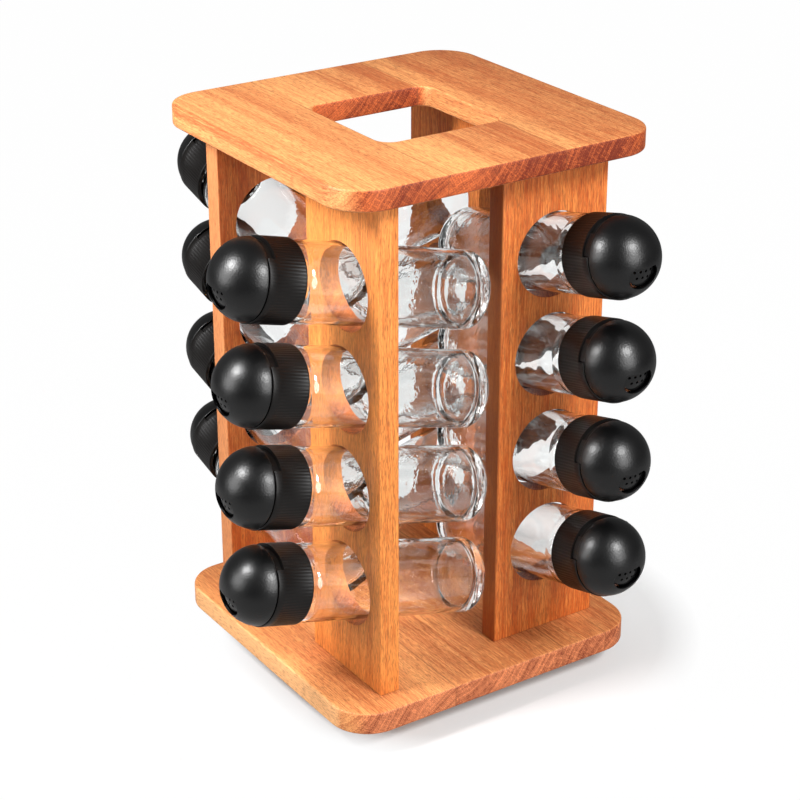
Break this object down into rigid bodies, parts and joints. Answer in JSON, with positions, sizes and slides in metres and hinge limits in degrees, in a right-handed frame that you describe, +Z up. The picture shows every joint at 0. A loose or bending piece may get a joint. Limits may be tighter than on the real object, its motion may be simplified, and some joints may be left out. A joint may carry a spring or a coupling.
{
  "type": "revolving spice rack",
  "caption": "Square wooden rack on a ball-bearing swivel; glass spice jars lie tilted in round holes of the uprights, each with a black screw cap and turning shaker dome.",
  "frame": {"origin": "middle of the foot ring's underside, on the table", "axes": "+Z up along the turntable's axis; the left front upright faces -X and the right front upright faces -Y"},
  "size_m": [0.2998, 0.2998, 0.3307],
  "materials": {
    "beech": "satin clear-lacquered steamed beech, orange-brown, with fine dark flecks",
    "clear_glass": "clear colourless pressed glass",
    "black_plastic": "satin moulded black plastic",
    "zinc_steel": "zinc-plated pressed steel",
    "dark_rubber": "soft matt dark rubber"
  },
  "bodies": {
    "stand": {"foot_ring": "dark_rubber", "swivel_lower_plate": "zinc_steel", "swivel_rivet": "zinc_steel"},
    "ball_cage": {"ball_cage": "zinc_steel"},
    "rack": {"swivel_upper_plate": "zinc_steel", "base_plate": "beech", "top_plate": "beech", "upright_front_left": "beech", "upright_front_right": "beech", "upright_back_right": "beech", "upright_back_left": "beech"},
    "jar_front_left_1": {"glass_jar_front_left_1": "clear_glass"},
    "cap_front_left_1": {"sifter_cap_front_left_1": "black_plastic"},
    "dome_front_left_1": {"dome_cap_front_left_1": "black_plastic"},
    "jar_front_left_2": {"glass_jar_front_left_2": "clear_glass"},
    "cap_front_left_2": {"sifter_cap_front_left_2": "black_plastic"},
    "dome_front_left_2": {"dome_cap_front_left_2": "black_plastic"},
    "jar_front_left_3": {"glass_jar_front_left_3": "clear_glass"},
    "cap_front_left_3": {"sifter_cap_front_left_3": "black_plastic"},
    "dome_front_left_3": {"dome_cap_front_left_3": "black_plastic"},
    "jar_front_left_4": {"glass_jar_front_left_4": "clear_glass"},
    "cap_front_left_4": {"sifter_cap_front_left_4": "black_plastic"},
    "dome_front_left_4": {"dome_cap_front_left_4": "black_plastic"},
    "jar_front_right_1": {"glass_jar_front_right_1": "clear_glass"},
    "cap_front_right_1": {"sifter_cap_front_right_1": "black_plastic"},
    "dome_front_right_1": {"dome_cap_front_right_1": "black_plastic"},
    "jar_front_right_2": {"glass_jar_front_right_2": "clear_glass"},
    "cap_front_right_2": {"sifter_cap_front_right_2": "black_plastic"},
    "dome_front_right_2": {"dome_cap_front_right_2": "black_plastic"},
    "jar_front_right_3": {"glass_jar_front_right_3": "clear_glass"},
    "cap_front_right_3": {"sifter_cap_front_right_3": "black_plastic"},
    "dome_front_right_3": {"dome_cap_front_right_3": "black_plastic"},
    "jar_front_right_4": {"glass_jar_front_right_4": "clear_glass"},
    "cap_front_right_4": {"sifter_cap_front_right_4": "black_plastic"},
    "dome_front_right_4": {"dome_cap_front_right_4": "black_plastic"},
    "jar_back_right_1": {"glass_jar_back_right_1": "clear_glass"},
    "cap_back_right_1": {"sifter_cap_back_right_1": "black_plastic"},
    "dome_back_right_1": {"dome_cap_back_right_1": "black_plastic"},
    "jar_back_right_2": {"glass_jar_back_right_2": "clear_glass"},
    "cap_back_right_2": {"sifter_cap_back_right_2": "black_plastic"},
    "dome_back_right_2": {"dome_cap_back_right_2": "black_plastic"},
    "jar_back_right_3": {"glass_jar_back_right_3": "clear_glass"},
    "cap_back_right_3": {"sifter_cap_back_right_3": "black_plastic"},
    "dome_back_right_3": {"dome_cap_back_right_3": "black_plastic"},
    "jar_back_right_4": {"glass_jar_back_right_4": "clear_glass"},
    "cap_back_right_4": {"sifter_cap_back_right_4": "black_plastic"},
    "dome_back_right_4": {"dome_cap_back_right_4": "black_plastic"},
    "jar_back_left_1": {"glass_jar_back_left_1": "clear_glass"},
    "cap_back_left_1": {"sifter_cap_back_left_1": "black_plastic"},
    "dome_back_left_1": {"dome_cap_back_left_1": "black_plastic"},
    "jar_back_left_2": {"glass_jar_back_left_2": "clear_glass"},
    "cap_back_left_2": {"sifter_cap_back_left_2": "black_plastic"},
    "dome_back_left_2": {"dome_cap_back_left_2": "black_plastic"},
    "jar_back_left_3": {"glass_jar_back_left_3": "clear_glass"},
    "cap_back_left_3": {"sifter_cap_back_left_3": "black_plastic"},
    "dome_back_left_3": {"dome_cap_back_left_3": "black_plastic"},
    "jar_back_left_4": {"glass_jar_back_left_4": "clear_glass"},
    "cap_back_left_4": {"sifter_cap_back_left_4": "black_plastic"},
    "dome_back_left_4": {"dome_cap_back_left_4": "black_plastic"}
  },
  "joints": [
    {"name": "turntable_turn", "type": "hinge", "parent": "stand", "child": "rack", "pos_m": [0, 0, 0.0132], "axis": [0, 0, 1], "continuous": true},
    {"name": "ball_cage_roll", "type": "hinge", "parent": "stand", "child": "ball_cage", "pos_m": [0, 0, 0.0086], "axis": [0, 0, 1], "continuous": true},
    {"name": "jar_slide_front_left_1", "type": "slide", "parent": "rack", "child": "jar_front_left_1", "axis": [-0.9674, 0, 0.2531], "range_m": [0, 0.095]},
    {"name": "cap_lift_front_left_1", "type": "slide", "parent": "jar_front_left_1", "child": "cap_front_left_1", "axis": [-0.9674, 0, 0.2531], "range_m": [0, 0.03]},
    {"name": "dome_twist_front_left_1", "type": "hinge", "parent": "cap_front_left_1", "child": "dome_front_left_1", "pos_m": [-0.06665, -0.0493, 0.08281], "axis": [-0.9674, 0, 0.2531], "range_deg": [-88, 0]},
    {"name": "jar_slide_front_left_2", "type": "slide", "parent": "rack", "child": "jar_front_left_2", "axis": [-0.9674, 0, 0.2531], "range_m": [0, 0.095]},
    {"name": "cap_lift_front_left_2", "type": "slide", "parent": "jar_front_left_2", "child": "cap_front_left_2", "axis": [-0.9674, 0, 0.2531], "range_m": [0, 0.03]},
    {"name": "dome_twist_front_left_2", "type": "hinge", "parent": "cap_front_left_2", "child": "dome_front_left_2", "pos_m": [-0.06665, -0.0493, 0.1422], "axis": [-0.9674, 0, 0.2531], "range_deg": [-88, 0]},
    {"name": "jar_slide_front_left_3", "type": "slide", "parent": "rack", "child": "jar_front_left_3", "axis": [-0.9674, 0, 0.2531], "range_m": [0, 0.095]},
    {"name": "cap_lift_front_left_3", "type": "slide", "parent": "jar_front_left_3", "child": "cap_front_left_3", "axis": [-0.9674, 0, 0.2531], "range_m": [0, 0.03]},
    {"name": "dome_twist_front_left_3", "type": "hinge", "parent": "cap_front_left_3", "child": "dome_front_left_3", "pos_m": [-0.06665, -0.0493, 0.20158], "axis": [-0.9674, 0, 0.2531], "range_deg": [-88, 0]},
    {"name": "jar_slide_front_left_4", "type": "slide", "parent": "rack", "child": "jar_front_left_4", "axis": [-0.9674, 0, 0.2531], "range_m": [0, 0.095]},
    {"name": "cap_lift_front_left_4", "type": "slide", "parent": "jar_front_left_4", "child": "cap_front_left_4", "axis": [-0.9674, 0, 0.2531], "range_m": [0, 0.03]},
    {"name": "dome_twist_front_left_4", "type": "hinge", "parent": "cap_front_left_4", "child": "dome_front_left_4", "pos_m": [-0.06665, -0.0493, 0.26097], "axis": [-0.9674, 0, 0.2531], "range_deg": [-88, 0]},
    {"name": "jar_slide_front_right_1", "type": "slide", "parent": "rack", "child": "jar_front_right_1", "axis": [0, -0.9674, 0.2531], "range_m": [0, 0.095]},
    {"name": "cap_lift_front_right_1", "type": "slide", "parent": "jar_front_right_1", "child": "cap_front_right_1", "axis": [0, -0.9674, 0.2531], "range_m": [0, 0.03]},
    {"name": "dome_twist_front_right_1", "type": "hinge", "parent": "cap_front_right_1", "child": "dome_front_right_1", "pos_m": [0.0493, -0.06665, 0.08281], "axis": [0, -0.9674, 0.2531], "range_deg": [-88, 0]},
    {"name": "jar_slide_front_right_2", "type": "slide", "parent": "rack", "child": "jar_front_right_2", "axis": [0, -0.9674, 0.2531], "range_m": [0, 0.095]},
    {"name": "cap_lift_front_right_2", "type": "slide", "parent": "jar_front_right_2", "child": "cap_front_right_2", "axis": [0, -0.9674, 0.2531], "range_m": [0, 0.03]},
    {"name": "dome_twist_front_right_2", "type": "hinge", "parent": "cap_front_right_2", "child": "dome_front_right_2", "pos_m": [0.0493, -0.06665, 0.1422], "axis": [0, -0.9674, 0.2531], "range_deg": [-88, 0]},
    {"name": "jar_slide_front_right_3", "type": "slide", "parent": "rack", "child": "jar_front_right_3", "axis": [0, -0.9674, 0.2531], "range_m": [0, 0.095]},
    {"name": "cap_lift_front_right_3", "type": "slide", "parent": "jar_front_right_3", "child": "cap_front_right_3", "axis": [0, -0.9674, 0.2531], "range_m": [0, 0.03]},
    {"name": "dome_twist_front_right_3", "type": "hinge", "parent": "cap_front_right_3", "child": "dome_front_right_3", "pos_m": [0.0493, -0.06665, 0.20158], "axis": [0, -0.9674, 0.2531], "range_deg": [-88, 0]},
    {"name": "jar_slide_front_right_4", "type": "slide", "parent": "rack", "child": "jar_front_right_4", "axis": [0, -0.9674, 0.2531], "range_m": [0, 0.095]},
    {"name": "cap_lift_front_right_4", "type": "slide", "parent": "jar_front_right_4", "child": "cap_front_right_4", "axis": [0, -0.9674, 0.2531], "range_m": [0, 0.03]},
    {"name": "dome_twist_front_right_4", "type": "hinge", "parent": "cap_front_right_4", "child": "dome_front_right_4", "pos_m": [0.0493, -0.06665, 0.26097], "axis": [0, -0.9674, 0.2531], "range_deg": [-88, 0]},
    {"name": "jar_slide_back_right_1", "type": "slide", "parent": "rack", "child": "jar_back_right_1", "axis": [0.9674, 0, 0.2531], "range_m": [0, 0.095]},
    {"name": "cap_lift_back_right_1", "type": "slide", "parent": "jar_back_right_1", "child": "cap_back_right_1", "axis": [0.9674, 0, 0.2531], "range_m": [0, 0.03]},
    {"name": "dome_twist_back_right_1", "type": "hinge", "parent": "cap_back_right_1", "child": "dome_back_right_1", "pos_m": [0.06665, 0.0493, 0.08281], "axis": [0.9674, 0, 0.2531], "range_deg": [-88, 0]},
    {"name": "jar_slide_back_right_2", "type": "slide", "parent": "rack", "child": "jar_back_right_2", "axis": [0.9674, 0, 0.2531], "range_m": [0, 0.095]},
    {"name": "cap_lift_back_right_2", "type": "slide", "parent": "jar_back_right_2", "child": "cap_back_right_2", "axis": [0.9674, 0, 0.2531], "range_m": [0, 0.03]},
    {"name": "dome_twist_back_right_2", "type": "hinge", "parent": "cap_back_right_2", "child": "dome_back_right_2", "pos_m": [0.06665, 0.0493, 0.1422], "axis": [0.9674, 0, 0.2531], "range_deg": [-88, 0]},
    {"name": "jar_slide_back_right_3", "type": "slide", "parent": "rack", "child": "jar_back_right_3", "axis": [0.9674, 0, 0.2531], "range_m": [0, 0.095]},
    {"name": "cap_lift_back_right_3", "type": "slide", "parent": "jar_back_right_3", "child": "cap_back_right_3", "axis": [0.9674, 0, 0.2531], "range_m": [0, 0.03]},
    {"name": "dome_twist_back_right_3", "type": "hinge", "parent": "cap_back_right_3", "child": "dome_back_right_3", "pos_m": [0.06665, 0.0493, 0.20158], "axis": [0.9674, 0, 0.2531], "range_deg": [-88, 0]},
    {"name": "jar_slide_back_right_4", "type": "slide", "parent": "rack", "child": "jar_back_right_4", "axis": [0.9674, 0, 0.2531], "range_m": [0, 0.095]},
    {"name": "cap_lift_back_right_4", "type": "slide", "parent": "jar_back_right_4", "child": "cap_back_right_4", "axis": [0.9674, 0, 0.2531], "range_m": [0, 0.03]},
    {"name": "dome_twist_back_right_4", "type": "hinge", "parent": "cap_back_right_4", "child": "dome_back_right_4", "pos_m": [0.06665, 0.0493, 0.26097], "axis": [0.9674, 0, 0.2531], "range_deg": [-88, 0]},
    {"name": "jar_slide_back_left_1", "type": "slide", "parent": "rack", "child": "jar_back_left_1", "axis": [0, 0.9674, 0.2531], "range_m": [0, 0.095]},
    {"name": "cap_lift_back_left_1", "type": "slide", "parent": "jar_back_left_1", "child": "cap_back_left_1", "axis": [0, 0.9674, 0.2531], "range_m": [0, 0.03]},
    {"name": "dome_twist_back_left_1", "type": "hinge", "parent": "cap_back_left_1", "child": "dome_back_left_1", "pos_m": [-0.0493, 0.06665, 0.08281], "axis": [0, 0.9674, 0.2531], "range_deg": [-88, 0]},
    {"name": "jar_slide_back_left_2", "type": "slide", "parent": "rack", "child": "jar_back_left_2", "axis": [0, 0.9674, 0.2531], "range_m": [0, 0.095]},
    {"name": "cap_lift_back_left_2", "type": "slide", "parent": "jar_back_left_2", "child": "cap_back_left_2", "axis": [0, 0.9674, 0.2531], "range_m": [0, 0.03]},
    {"name": "dome_twist_back_left_2", "type": "hinge", "parent": "cap_back_left_2", "child": "dome_back_left_2", "pos_m": [-0.0493, 0.06665, 0.1422], "axis": [0, 0.9674, 0.2531], "range_deg": [-88, 0]},
    {"name": "jar_slide_back_left_3", "type": "slide", "parent": "rack", "child": "jar_back_left_3", "axis": [0, 0.9674, 0.2531], "range_m": [0, 0.095]},
    {"name": "cap_lift_back_left_3", "type": "slide", "parent": "jar_back_left_3", "child": "cap_back_left_3", "axis": [0, 0.9674, 0.2531], "range_m": [0, 0.03]},
    {"name": "dome_twist_back_left_3", "type": "hinge", "parent": "cap_back_left_3", "child": "dome_back_left_3", "pos_m": [-0.0493, 0.06665, 0.20158], "axis": [0, 0.9674, 0.2531], "range_deg": [-88, 0]},
    {"name": "jar_slide_back_left_4", "type": "slide", "parent": "rack", "child": "jar_back_left_4", "axis": [0, 0.9674, 0.2531], "range_m": [0, 0.095]},
    {"name": "cap_lift_back_left_4", "type": "slide", "parent": "jar_back_left_4", "child": "cap_back_left_4", "axis": [0, 0.9674, 0.2531], "range_m": [0, 0.03]},
    {"name": "dome_twist_back_left_4", "type": "hinge", "parent": "cap_back_left_4", "child": "dome_back_left_4", "pos_m": [-0.0493, 0.06665, 0.26097], "axis": [0, 0.9674, 0.2531], "range_deg": [-88, 0]}
  ],
  "couplings": [
    {"joint": "ball_cage_roll", "follows": "turntable_turn", "ratio": 0.5}
  ]
}
